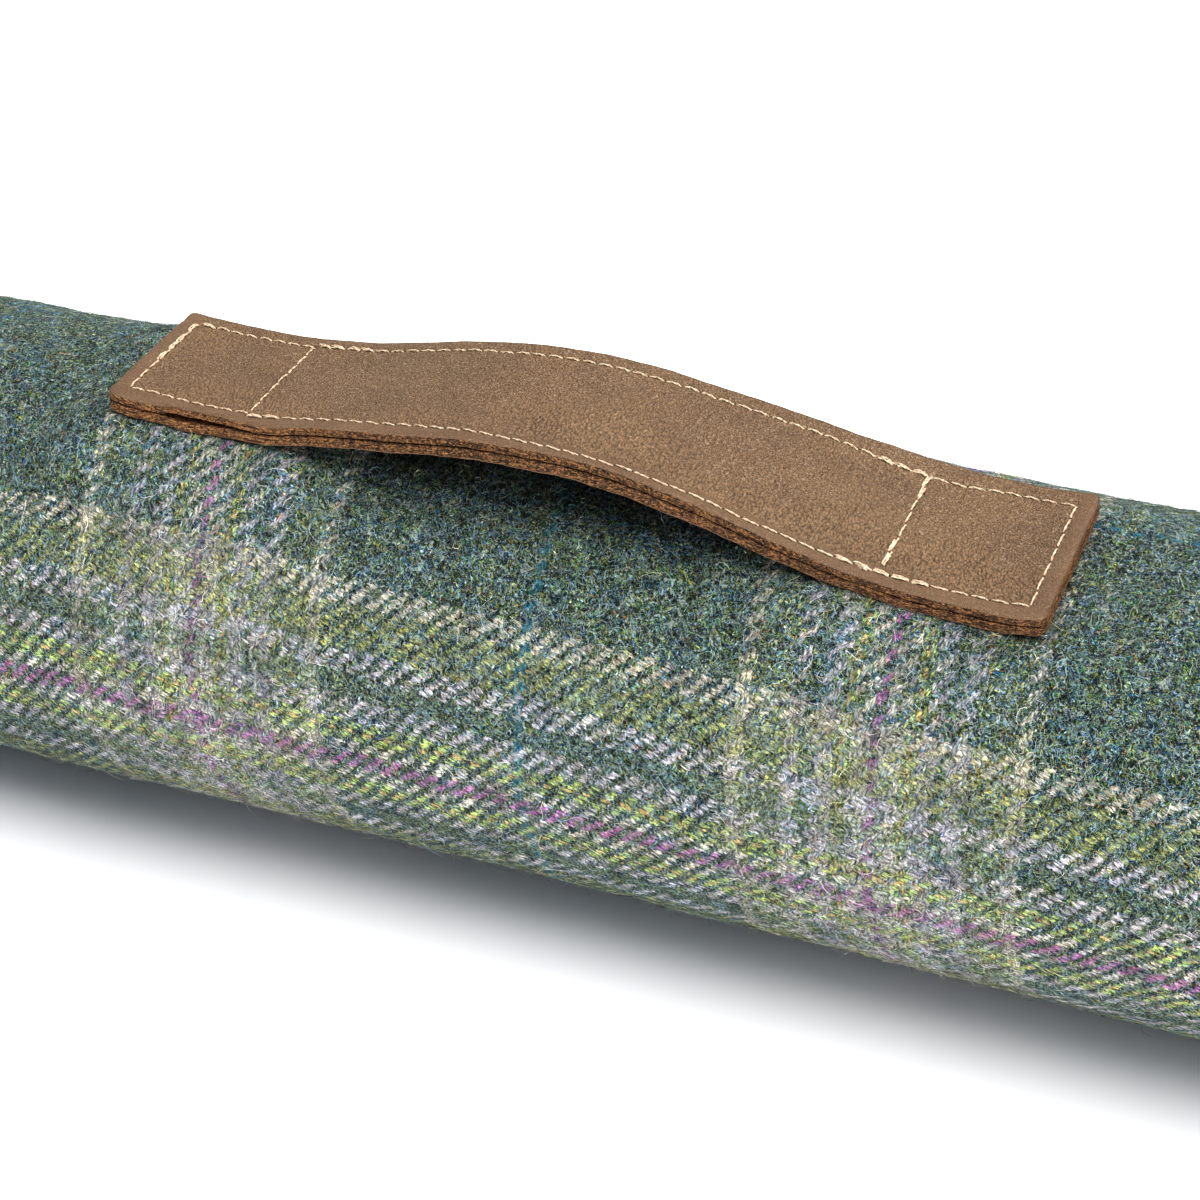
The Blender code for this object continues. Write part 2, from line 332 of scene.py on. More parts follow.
class Finish:
    """A material and short ways to add nodes to it."""

    def __init__(self, name, roughness):
        self.material = bpy.data.materials.new(name)
        self.material.use_nodes = True
        self.tree = self.material.node_tree
        self.shader = self.tree.nodes["Principled BSDF"]
        self.give({"Roughness": roughness})

    def add(self, kind, **settings):
        node = self.tree.nodes.new("ShaderNode" + kind)
        for name, value in settings.items():
            setattr(node, name, value)
        return node

    def feed(self, socket, value):
        if isinstance(value, Number):
            value = value.socket
        if isinstance(value, bpy.types.NodeSocket):
            self.tree.links.new(value, socket)
        else:
            socket.default_value = value

    def give(self, values):
        """Sets the shader's own sockets by name."""
        for name, value in values.items():
            self.feed(self.shader.inputs[name], value)

    def reckon(self, operation, *values):
        node = self.add("Math", operation=operation)
        for socket, value in zip(node.inputs, values):
            self.feed(socket, value)
        return Number(self, node.outputs[0])

    def split(self, value, kind="SeparateColor"):
        """The three numbers of a colour or a place."""
        node = self.add(kind)
        self.feed(node.inputs[0], value)
        return [Number(self, socket) for socket in node.outputs]

    def joined(self, *numbers, kind="CombineXYZ"):
        """One place or colour from its numbers."""
        node = self.add(kind)
        for socket, number in zip(node.inputs, numbers):
            self.feed(socket, number)
        return node.outputs[0]

    def place(self, map_name):
        """Distances on a flat map, in millimetres."""
        x, y, _ = self.split(self.add("UVMap", uv_map=map_name).outputs[0], "SeparateXYZ")
        return x * 1000, y * 1000

    def mark(self, name):
        return Number(self, self.add("Attribute", attribute_name=name).outputs["Fac"])

    def cloud(self, first, second, wide, high, detail=1.0, shift=0.0, distortion=0.0, three=False):
        """Soft random spots of about this size in millimetres, as one number or three."""
        noise = self.add("TexNoise", noise_dimensions="2D")
        for name, value in (("Scale", 1.0), ("Detail", detail), ("Distortion", distortion)):
            noise.inputs[name].default_value = value
        where = self.joined(first * (1 / wide) + shift, second * (1 / high) + shift)
        self.feed(noise.inputs["Vector"], where)
        return self.split(noise.outputs["Color"]) if three else Number(self, noise.outputs["Fac"])

    def strayed(self, places, flat, size, reach, shift):
        """The places moved about by up to half this reach, in soft random spots of this size."""
        drift = self.cloud(*flat, size, size, 1.0, shift, three=True)
        return [(part - 0.5) * reach + place for part, place in zip(drift, places)]

    def fibres(self, first, second, lean, long, wide, shift):
        """Short fibres side by side at this angle, their size in millimetres. Gives the middle of the fibre
        at each place, how near its edge the place is, and three random numbers of the fibre's own."""
        cos, sin = math.cos(lean), math.sin(lean)
        ahead = first * (cos / long) + (second * (sin / long) + shift)
        aside = first * (-sin / wide) + second * (cos / wide)
        cells = self.add("TexVoronoi", voronoi_dimensions="2D")
        cells.inputs["Scale"].default_value = 1.0
        self.feed(cells.inputs["Vector"], self.joined(ahead, aside))
        ahead, aside, _ = self.split(cells.outputs["Position"], "SeparateXYZ")
        ahead, aside = (ahead - shift) * long, aside * wide
        middle = (ahead * cos - aside * sin, ahead * sin + aside * cos)
        return middle, Number(self, cells.outputs["Distance"]), self.split(cells.outputs["Color"])

    def rise(self, value, start, end, low=0.0, high=1.0):
        """Eases from low to high as the value goes from start to end."""
        node = self.add("MapRange", interpolation_type="SMOOTHSTEP")
        for socket, number in zip(node.inputs, (value, start, end, low, high)):
            self.feed(socket, number)
        return Number(self, node.outputs[0])

    def between(self, share, under, over):
        """A number that goes from one to another as the share goes from 0 to 1."""
        node = self.add("Mix", data_type="FLOAT")
        for socket, number in zip((node.inputs[0], node.inputs[2], node.inputs[3]), (share, under, over)):
            self.feed(socket, number)
        return Number(self, node.outputs[0])

    def ramp(self, value, stops, stepped=False):
        """A colour for each range of the value, from (position, colour) pairs."""
        node = self.add("ValToRGB")
        node.color_ramp.interpolation = "CONSTANT" if stepped else "LINEAR"
        for element, (position, colour) in zip(node.color_ramp.elements, stops):
            element.position, element.color = position, colour
        for position, colour in stops[2:]:
            node.color_ramp.elements.new(position).color = colour
        self.feed(node.inputs[0], value)
        return node.outputs[0]

    def mix(self, share, under, over, way="MIX"):
        node = self.add("Mix", data_type="RGBA", blend_type=way)
        for socket, value in zip((node.inputs[0], node.inputs[6], node.inputs[7]), (share, under, over)):
            self.feed(socket, value)
        return node.outputs[2]

    def shaded(self, colour, light):
        """The colour times a number."""
        return self.mix(1.0, colour, self.joined(light, light, light, kind="CombineColor"), "MULTIPLY")

    def lit(self, colour, value, start, end, low, high):
        """The colour, its light easing from low to high as the value goes from start to end."""
        return self.shaded(colour, self.rise(value, start, end, low, high))

    def bumps(self, height, depth):
        """Relief from a height of about 0 to 1, this many metres deep."""
        node = self.add("Bump")
        node.inputs["Distance"].default_value = depth
        self.feed(node.inputs["Height"], height)
        self.give({"Normal": node.outputs[0]})


# Stripes of the check, each up to its distance in millimetres from the middle of the magenta line. The
# same order runs back on the other side.
magenta = dyed(194, 122, 184)
beige = dyed(220, 211, 203)
yellow_green = dyed(190, 206, 122)
ochre = dyed(216, 184, 122)
lilac_grey = dyed(203, 193, 202)
leaf_green = dyed(138, 150, 118)
moss_green = dyed(174, 173, 112)
cream = dyed(200, 189, 176)
oatmeal = dyed(222, 212, 198)
dark_green = dyed(32, 56, 46)
blue_teal = dyed(32, 68, 84)
bright_teal = dyed(0, 150, 184)
pale_blue = dyed(74, 100, 110)
yarn_pitch = 1.1027
ring_repeat = 161.0
ring_middle = -77.28
ring_stripes = (
    (1.1, magenta),
    (5.5, beige),
    (6.6, yellow_green),
    (7.7, ochre),
    (8.8, yellow_green),
    (12.7, lilac_grey),
    (15.9, leaf_green),
    (19.8, lilac_grey),
    (28.8, moss_green),
    (32.0, oatmeal),
    (79.4, dark_green),
    (80.5, bright_teal),
)
long_repeat = 205.4
long_middle = 0.35
long_stripes = (
    (2.0, magenta),
    (5.3, beige),
    (7.6, yellow_green),
    (8.7, ochre),
    (10.8, yellow_green),
    (15.6, lilac_grey),
    (21.5, leaf_green),
    (26.5, lilac_grey),
    (37.0, moss_green),
    (42.8, cream),
    (49.5, dark_green),
    (62.5, blue_teal),
    (69.5, dark_green),
    (79.0, blue_teal),
    (85.0, dark_green),
    (91.0, blue_teal),
    (96.0, dark_green),
    (101.6, pale_blue),
    (102.7, bright_teal),
)


def yarn_colour(finish, number, middle, repeat, stripes):
    """Dye of the yarn with this number, counted from the map's middle."""
    centre = number * yarn_pitch + (yarn_pitch / 2 - middle)
    distance = finish.reckon("PINGPONG", centre, repeat / 2) / (repeat / 2)
    starts = [0.0] + [end / (repeat / 2) for end, _ in stripes[:-1]]
    return finish.ramp(distance, [(start, colour) for start, (_, colour) in zip(starts, stripes)], True)


def yarn_colours(finish, ring, row):
    """Dyes of the yarns that cross here: the one round the roll, then the one along it."""
    ring_dye = yarn_colour(finish, ring, ring_middle, ring_repeat, ring_stripes)
    return ring_dye, yarn_colour(finish, row, long_middle, long_repeat, long_stripes)


def darkness(finish, colour):
    """1 for the dark yarns of the ground, less for the green ones and 0 for the pale and magenta ones."""
    red, _, blue = finish.split(colour)
    return finish.rise(red + blue, 0.08, 0.82, 1.0, 0.0)


# Fibres of other colours that were dyed and carded into every yarn. A colour's share of them runs from
# its own number up to the next one's.
carded = (
    (0.00, dyed(12, 36, 54)),
    (0.13, dyed(18, 66, 106)),
    (0.25, dyed(54, 108, 144)),
    (0.37, dyed(26, 76, 56)),
    (0.46, dyed(90, 134, 66)),
    (0.58, dyed(162, 166, 88)),
    (0.69, dyed(8, 22, 22)),
    (0.78, dyed(128, 160, 178)),
    (0.90, dyed(196, 208, 206)),
    (0.97, dyed(188, 132, 80)),
)
# Clumps of fibres that stayed together in the carding
clumped = (
    (0.28, dyed(12, 34, 52)),
    (0.36, dyed(24, 74, 102)),
    (0.43, dyed(80, 118, 142)),
    (0.49, dyed(26, 66, 54)),
    (0.54, dyed(84, 118, 68)),
    (0.59, dyed(20, 50, 44)),
    (0.65, dyed(126, 144, 70)),
    (0.74, dyed(76, 104, 106)),
)
# The carding was uneven, so the ground also drifts from bluer to mossier over a few millimetres
drifts = (
    (0.36, (0.66, 0.86, 1.00, 1.0)),
    (0.50, (0.94, 0.94, 0.94, 1.0)),
    (0.64, (1.00, 0.92, 0.56, 1.0)),
)


def heather(finish, colour, first, second, dice):
    """Clumps and single fibres of the other dyes in a yarn. They show more in a dark yarn than in a pale
    one. The fibre's three dice say how light it is, which dye it has, and whether it is one of these."""
    shade, which, chosen = dice
    dark = darkness(finish, colour)
    clump = finish.cloud(first, second, 5.5, 4.0, 2.0, 31.7, 1.0)
    colour = finish.mix(finish.rise(dark, 0.0, 1.0, 0.16, 0.68), colour, finish.ramp(clump, clumped))
    colour = finish.lit(colour, shade, 0.0, 1.0, dark * -0.40 + 0.72, dark * 0.54 + 1.22)
    other = finish.lit(finish.ramp(which, carded, True), shade, 0.0, 1.0, 0.75, 1.20)
    is_other = chosen < finish.rise(dark, 0.0, 1.0, 0.22, 0.50)
    colour = finish.mix(is_other * 0.85, colour, other)
    drift = finish.ramp(finish.cloud(first, second, 8.5, 6.5, 2.0, 91.3, 0.8), drifts)
    drifted = finish.mix(1.0, colour, drift, "MULTIPLY")
    return finish.mix(finish.rise(dark, 0.0, 1.0, 0.25, 1.0), colour, drifted)


def tweed():
    finish = Finish("tweed", 0.95)
    flat = finish.place("cloth")
    bent = flat
    for size, reach, shift in ((11.0, 2.4, 0.0), (3.1, 0.8, 71.0)):
        bent = finish.strayed(bent, flat, size, reach, shift)

    # The twist lays the fibres aslant in each yarn, and some stray over the yarn beside it
    lean = math.radians(-25)
    long, wide = 1.2, 0.28
    row_middle, row_edge, row_dice = finish.fibres(*bent, lean, long, wide, 5.0)
    ring_middle_at, ring_edge, ring_dice = finish.fibres(*bent, lean + math.pi / 2, long, wide, 9.0)
    stray = [
        ((one + other) * 0.5 - place) * 0.7 + place
        for one, other, place in zip(row_middle, ring_middle_at, bent)
    ]
    ring, row = [finish.reckon("FLOOR", place / yarn_pitch) for place in stray]
    ring_on_top = (ring - row) % 4 < 1.5

    def pick(if_row, if_ring):
        return finish.between(ring_on_top, if_row, if_ring)

    fibre_edge = pick(row_edge, ring_edge)
    fibre_dice = [pick(one, other) for one, other in zip(row_dice, ring_dice)]

    # Rounding of each float, across it and towards the ends where it dips under
    in_rings, in_rows = [place / yarn_pitch for place in bent]
    across = pick(finish.reckon("FRACT", in_rows), finish.reckon("FRACT", in_rings))
    length = pick(in_rings - row - 2.0, in_rows - ring + 1.0) % 4
    off_middle = finish.reckon("ABSOLUTE", across * 2.0 - 1.0)
    off_centre = finish.reckon("ABSOLUTE", length - 1.0)
    height = finish.rise(off_middle, 0.35, 1.1, 1.0, 0.0) * finish.rise(off_centre, 0.55, 1.15, 1.0, 0.0)

    # The yarn on top, rubbed into the one below
    ring_dye, row_dye = yarn_colours(finish, ring, row)
    row_dark, ring_dark = darkness(finish, row_dye), darkness(finish, ring_dye)
    both_dark = row_dark * ring_dark
    rubbed_in = finish.reckon("PINGPONG", both_dark, 0.5) * 0.60 + (both_dark * 0.10 + 0.30)
    top_dye = finish.mix(ring_on_top, row_dye, ring_dye)
    colour = finish.mix(rubbed_in, top_dye, finish.mix(0.5, row_dye, ring_dye))
    colour = finish.shaded(colour, ring_on_top * -0.38 + 1.28)
    colour = finish.lit(colour, finish.reckon("MAXIMUM", row_dark, ring_dark), 0.0, 1.0, 0.76, 1.0)
    dark = darkness(finish, colour)
    colour = heather(finish, colour, *flat, fibre_dice)
    # Painted light and shade that follow the relief: darker between the floats, at each fibre's edge and in
    # the hollows, and lighter on the floats, the fibres' middles and the raised spots
    colour = finish.lit(colour, height, 0.0, 0.60, dark * -0.27 + 0.62, 1.10)
    colour = finish.lit(colour, fibre_edge, 0.25, 0.68, 1.18, dark * -0.18 + 0.46)
    hollows = finish.cloud(*flat, 1.7, 1.7, 2.0, 43.0, 0.6)
    colour = finish.lit(colour, hollows, 0.38, 0.60, dark * -0.60 + 0.72, dark * 0.32 + 1.18)
    colour = finish.lit(colour, finish.cloud(*flat, 8, 12, 2.0, 50.0), 0.3, 0.7, 0.76, 1.22)

    # Fibres that lie over the yarns in every direction, then single pale ones, and near-black lines of
    # painted shade for the gaps between fibres
    nap_height = 0.0
    curled = finish.strayed(bent, flat, 2.2, 1.6, 15.0)
    for angle, long, wide, shift in ((20, 2.4, 0.24, 21.0), (-50, 2.8, 0.24, 37.0), (110, 2.2, 0.26, 53.0)):
        _, edge, dice = finish.fibres(*curled, math.radians(angle), long, wide, shift)
        shown = finish.rise(edge, 0.20, 0.50, 1.0, 0.0) * (dice[0] < 0.50)
        tone = finish.lit(finish.ramp(dice[1], carded, True), dice[2], 0.0, 1.0, 0.60, 1.35)
        own = finish.mix(finish.rise(dark, 0.0, 1.0, 0.26, 0.80), colour, tone)
        colour = finish.mix(shown * 0.70, colour, own)
        nap_height = shown * 0.5 + nap_height
    for size, shift, strength, reach, tone in (
        (2.8, 3.0, 0.56, 0.034, dyed(186, 196, 194)),
        (2.2, 21.0, 0.50, 0.034, dyed(132, 160, 184)),
        (1.8, 37.0, 0.46, 0.034, dyed(160, 172, 108)),
        (1.7, 53.0, 0.86, 0.048, dyed(4, 9, 12)),
        (1.3, 67.0, 0.80, 0.046, dyed(4, 10, 12)),
    ):
        line = finish.reckon("ABSOLUTE", finish.cloud(*flat, size, size, 1.0, shift, 1.2) - 0.5)
        share = finish.rise(dark, 0.0, 1.0, 0.48, 1.0) * strength
        colour = finish.mix(finish.rise(line, 0.008, reach, share, 0.0), colour, tone)

    # The teal yarns in the middle of the ground were dyed in one strong colour, and show through the nap
    red, _, blue = finish.split(top_dye)
    # The strong teal is darker at each fibre's edge, painted shade
    strong = finish.lit(dyed(0, 104, 128), fibre_edge, 0.25, 0.68, 1.25, 0.45)
    colour = finish.mix(finish.rise(blue - red, 0.28, 0.42, 0.0, ring_on_top * -0.30 + 0.66), colour, strong)

    finish.bumps(height - fibre_edge + (hollows + nap_height), 0.26 * mm)
    finish.give(
        {
            "Base Color": colour,
            "Specular IOR Level": 0.1,
            "Sheen Weight": 0.12,
            "Sheen Roughness": 0.6,
            "Sheen Tint": dyed(222, 222, 214),
        }
    )
    return finish.material


rings_in_all, columns = cloth.shape[:2]
corner_steps = ((0, 0), (1, 0), (1, 1), (0, 1))


def grid_numbers(*ranges):
    """The numbers of every cell of a grid, one flat array for each direction."""
    return [numbers.ravel() for numbers in np.meshgrid(*ranges, indexing="ij")]


def close_seam(first, facing_x):
    """Faces that join the two lips of an end seam."""
    over = columns_a_half + np.arange(1, columns_a_half)
    under = columns_a_half - np.arange(1, columns_a_half)
    fold, back = first + columns_a_half, first
    strips = np.stack([first + under[:-1], first + under[1:], first + over[1:], first + over[:-1]], 1)
    tips = [[fold, first + under[0], first + over[0]], [back, first + over[-1], first + under[-1]]]
    tips = np.array(tips)
    return (strips, tips) if facing_x > 0 else (strips[:, ::-1], tips[:, ::-1])


ring_at, column_at = grid_numbers(np.arange(rings_in_all - 1), np.arange(columns - 1))
quads = [(ring_at + r) * (columns - 1) + (column_at + c) % (columns - 1) for r, c in corner_steps]
quad_places = np.stack([cloth_places[ring_at + r, column_at + c] for r, c in corner_steps], 1)
left_strips, left_tips = close_seam(0, -1)
right_strips, right_tips = close_seam((rings_in_all - 1) * (columns - 1), 1)
cover = new_piece(
    "tweed_cover",
    cloth[:, :-1].reshape(-1, 3),
    np.concatenate([np.stack(quads, 1), left_strips, right_strips]),
    np.concatenate([left_tips, right_tips]),
)
seam_corners = [faces.ravel() for faces in (left_strips, right_strips, left_tips, right_tips)]
seam_places = cloth_places[:, :-1].reshape(-1, 2)[np.concatenate(seam_corners)]
all_places = np.concatenate([quad_places.reshape(-1, 2), seam_places])
add_map(cover, "cloth", all_places)
span = np.ptp(all_places, axis=0)
add_map(cover, "OFBake", (all_places - all_places.min(axis=0)) / span * 0.998 + 0.001)
cover.data.materials.append(tweed())
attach(cover, "root")
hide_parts("filled_cover")


# ---- Loose wool ---------------------------------------------------------------------------------------
# The nap of the tweed: fine curled fibres of the same dyed wool, raised by the finishing of the cloth.
# Most lie close along the surface, and a few stand off it.

fibres_a_tuft = 18500
tufts = 4
fibre_width = 0.085 * mm
stations = 6
nap = np.random.default_rng(11)


def rooted(count):
    """Random places on the cover: the point, its outward direction and its flat place."""
    ring = nap.uniform(groove_rings + 1, rings_in_all - groove_rings - 2, 4 * count)
    column = nap.uniform(0.5, columns - 1.5, 4 * count)
    low_ring, low_column = ring.astype(int), column.astype(int)
    ring_share = ring_steps[low_ring] / ring_steps.max()
    above_floor = cloth[low_ring, low_column, 2] > 1.5 * mm
    kept = np.flatnonzero((nap.uniform(size=4 * count) < ring_share) & above_floor)[:count]
    ring, column, low_ring, low_column = ring[kept], column[kept], low_ring[kept], low_column[kept]
    part_ring, part_column = (ring - low_ring)[:, None], (column - low_column)[:, None]

    def there(sheet):
        first, second = [
            sheet[at, low_column] * (1 - part_column) + sheet[at, low_column + 1] * part_column
            for at in (low_ring, low_ring + 1)
        ]
        return first * (1 - part_ring) + second * part_ring

    return there(cloth), there(outward), there(cloth_places)


def unit(vectors):
    return vectors / np.maximum(np.linalg.norm(vectors, axis=-1, keepdims=True), 1e-12)


def loose_fibres(count):
    """Centre lines of fibres (fibre, station, xyz), with the flat place of each root."""
    root, away, place = rooted(count)
    side = unit(np.cross(away, nap.normal(size=(len(root), 3))))
    bend = np.cross(away, side)
    heading = nap.uniform(0, 2 * np.pi, len(root))
    curl = nap.normal(0.0, 0.55, len(root))
    length = np.clip(nap.gamma(6.0, 0.72, len(root)), 1.6, 9.0) * mm
    stands = np.where(nap.uniform(size=len(root)) < 0.08, nap.uniform(0.4, 1.6, len(root)), 0.0) * mm
    rise = nap.uniform(0.10, 0.42, len(root)) * mm + stands
    lines = [root - away * 0.10 * mm]
    at = root.copy()
    for station in range(1, stations):
        step = (length / (stations - 1))[:, None]
        direction = side * np.cos(heading)[:, None] + bend * np.sin(heading)[:, None]
        at = at + direction * step
        share = station / (stations - 1)
        height = rise * np.sin(np.pi * min(share * 0.62, 0.5)) + stands * 0.2 * share
        lines.append(at + away * height[:, None])
        heading = heading + curl + nap.normal(0.0, 0.45, len(root))
    lines = np.stack(lines, 1)
    lines[..., 2] = np.maximum(lines[..., 2], 0.15 * mm)
    return lines, place


def wool(name):
    """The same dyes as the tweed, one for each fibre, and paler, as light shines through single fibres."""
    finish = Finish(name, 0.9)
    flat = finish.place("cloth")
    tone = finish.mark("tone")
    ring, row = [finish.reckon("FLOOR", place / yarn_pitch) for place in flat]
    ring_dye, row_dye = yarn_colours(finish, ring, row)
    own_yarn, which, chosen = [finish.reckon("FRACT", tone * spread) for spread in (7.0, 31.0, 173.0)]
    colour = finish.mix(own_yarn > 0.5, row_dye, ring_dye)
    colour = heather(finish, colour, *flat, (tone, which, chosen))
    colour = finish.mix(0.25, colour, dyed(204, 206, 200))
    colour = finish.lit(colour, tone, 0.0, 1.0, 0.6, 1.5)
    finish.give({"Base Color": colour, "Specular IOR Level": 0.25})
    return finish.material


def ribbon_piece(name, lines, places, width):
    """Thin ribbons along the fibres' centre lines, joined as one mesh."""
    count = len(lines)
    ahead = unit(np.gradient(lines, axis=1))
    flat = unit(np.cross(ahead, nap.normal(size=(count, 1, 3))))
    taper = np.linspace(1.15, 0.35, stations)[None, :, None]
    points = np.stack([lines - flat * taper * width / 2, lines + flat * taper * width / 2], 2)
    first = (np.arange(count) * stations * 2)[:, None]
    step = 2 * np.arange(stations - 1)[None, :]
    faces = np.stack([first + step, first + step + 1, first + step + 3, first + step + 2], -1)
    piece = new_piece(name, points.reshape(-1, 3), faces.reshape(-1, 4))
    add_map(piece, "cloth", np.repeat(places, 4 * (stations - 1), axis=0))
    cells = math.ceil(math.sqrt(count))
    cell = np.stack([np.arange(count) % cells, np.arange(count) // cells], -1)[:, None, None, :] + 0.15
    low = np.stack([np.full(stations - 1, 0.0), np.arange(stations - 1) / (stations - 1)], -1)
    box = np.array([[0.0, 0.0], [1.0, 0.0], [1.0, 1 / (stations - 1)], [0.0, 1 / (stations - 1)]])
    add_map(piece, "OFBake", (cell + 0.7 * (low[None, :, None] + box[None, None])) / cells)
    add_mark(piece, "tone", np.repeat(nap.uniform(size=count), stations * 2))
    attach(piece, "root")
    return piece


nap_finish = wool("loose_wool")
for number in range(1, tufts + 1):
    fibre_lines, fibre_places = loose_fibres(fibres_a_tuft)
    tuft = ribbon_piece(f"loose_wool_{number}", fibre_lines, fibre_places, fibre_width)
    tuft.data.materials.append(nap_finish)


# ---- Leather handle -----------------------------------------------------------------------------------
# Two layers of waxed cowhide, cut as one strap and laid flesh side to flesh side. The top edges are worn
# round, and the cut sides show the raw fibres of the hide, lighter towards the strap's left end. The ends'
# cut faces are painted twice as light as the sides, a painted highlight.

stitch_margin = 4.07 * mm
line_across = half_width - stitch_margin
line_along = half_length - stitch_margin
patch_length = 31.85 * mm
inner_line = line_along - patch_length
stitch_pitch = 4.03 * mm
worn_radius = 0.55 * mm
inner_corner = 0.30 * mm
corner_radius = 1.8 * mm
slit_start, slit_end = -97 * mm, -70 * mm


def near_rim(across, reach):
    """0 inside the strap to 1 at its near edge."""
    return smooth((-across - half_width + reach) / reach)


def between(value, start, end, ease_in, ease_out):
    return smooth((value - start) / ease_in) * smooth((end - value) / ease_out)


def row_shift(along, across):
    """How far the rows of stitches wander sideways from straight lines."""
    near_row = 0.7 * mm * smooth((-80 * mm - along) / (20 * mm))
    near_row = near_row - 0.85 * mm * between(along, -25 * mm, 92 * mm, 30 * mm, 30 * mm)
    far_row = -1.2 * mm * between(along, 55 * mm, 92 * mm, 14 * mm, 10 * mm)
    share = np.clip(across / line_across, -1.0, 1.0)
    return near_row * np.maximum(-share, 0.0) + far_row * np.maximum(share, 0.0)


def cut_slant(along):
    """How much further in the near side's top edge lies than its bottom edge, as the knife leaned over."""
    uneven = 0.15 * mm * ripple(along, (41 * mm, 19 * mm), (1.0, 2.0))
    return 0.7 * mm + 0.9 * mm * bell(along - 12 * mm, 34 * mm) + uneven


def curl_and_waves(along, across):
    """How both layers curl up at the strap's ends and lie in slow waves between them."""
    curl = 1.5 * mm * smooth((along - half_length + 13 * mm) / (13 * mm)) ** 1.5
    curl = curl + 0.5 * mm * smooth((-along - half_length + 9 * mm) / (9 * mm)) ** 1.5
    wavy = 0.16 * mm * ripple(along + 0.6 * across, (47 * mm, 29 * mm, 17 * mm), (0.3, 2.2, 4.4))
    return curl + wavy * smooth((half_length - np.abs(along)) / (12 * mm))


def top_relief(along, across):
    """How far the top layer's face stands above its plain shape."""
    holes = 0.5 + 0.5 * np.cos(2 * np.pi * (along - line_along) / stitch_pitch)
    side_line = bell(np.abs(across - row_shift(along, across)) - line_across, 0.75 * mm)
    cross_lines = bell(np.abs(along) - line_along, 0.75 * mm) + bell(np.abs(along) - inner_line, 0.75 * mm)
    cross_lines = cross_lines * (np.abs(across) < line_across)
    sewn_down = -(0.10 + 0.16 * holes) * mm * side_line - 0.20 * mm * cross_lines
    cushion = 0.10 * mm * (1 - smooth((np.abs(across) - line_across + 5 * mm) / (5 * mm)))
    slit = 0.95 * mm * between(along, slit_start, slit_end, 3 * mm, 20 * mm) * near_rim(across, 4.2 * mm)
    return sewn_down + cushion + slit + curl_and_waves(along, across)


def under_relief(along, across):
    drop = 0.25 * mm * between(along, slit_start, slit_end, 4 * mm, 16 * mm) * near_rim(across, 4 * mm)
    return curl_and_waves(along, across) - drop


def on_strap(along, across, height):
    """A point in the model's frame from its place on the strap and its height above the plain top face."""
    along, across, height = np.broadcast_arrays(along, across, height)
    slope, tilt = np.arctan(arch_slope(along)), strap_tilt(along)
    forward = np.stack([np.cos(slope), 0 * slope, np.sin(slope)], -1)
    sideways = np.stack([0 * tilt, np.cos(tilt), np.sin(tilt)], -1)
    up = unit(np.cross(forward, sideways))
    flat = np.stack([along, 0 * along, arch_height(along)], -1) + across[..., None] * sideways
    local = flat + height[..., None] * up
    return placed(strap_place, local[..., 0], local[..., 1], local[..., 2])


def set_back(along, radius):
    """How far a rounding of this radius stands back at the strap's ends."""
    into = np.maximum(radius - half_length + np.abs(along), 0.0)
    return radius - np.sqrt(np.maximum(radius**2 - into**2, 0.0))


def rim_width(along, side):
    """Half width of the strap at one side, a little uneven as it was cut by hand."""
    uneven = 0.12 * mm * ripple(along * side, (31 * mm, 13 * mm, 5.1 * mm), (0.6, 1.9, 3.3))
    flare = 0.9 * mm * bell(along + 69 * mm, 7 * mm) * (side < 0)
    return half_width + uneven + flare - set_back(along, corner_radius)


def layer_outline(top_side, thickness):
    """Outline across one layer, a row for each point: its inset from the far rim, depth and rawness."""
    worn = worn_radius if top_side else inner_corner
    grooved = 6.6 * mm
    fine = np.linspace(0.0, grooved, 15)[:-1]
    coarse = np.linspace(grooved, strap_width - grooved - 2 * worn, 12)
    insets = np.concatenate([fine, coarse, strap_width - 2 * worn - fine[::-1]])
    face = [(worn + inset, 0.0, 0.0) for inset in insets]
    bends = np.radians([15, 32, 50, 70, 90])
    side = [(worn * (1 - math.sin(bend)), worn * (1 - math.cos(bend)), 0.0) for bend in bends]
    side += [(0.0, depth, 1.0) for depth in np.linspace(worn + 0.02 * mm, thickness - inner_corner, 6)]
    side += [(0.3 * inner_corner, thickness - 0.3 * inner_corner, 1.0), (inner_corner, thickness, 1.0)]
    back = [(strap_width - inset, thickness, 1.0) for inset in np.linspace(0.0, strap_width, 16)[1:-1]]
    near = [(strap_width - inset, depth, raw) for inset, depth, raw in side]
    return np.array(face + near + back + side[::-1])


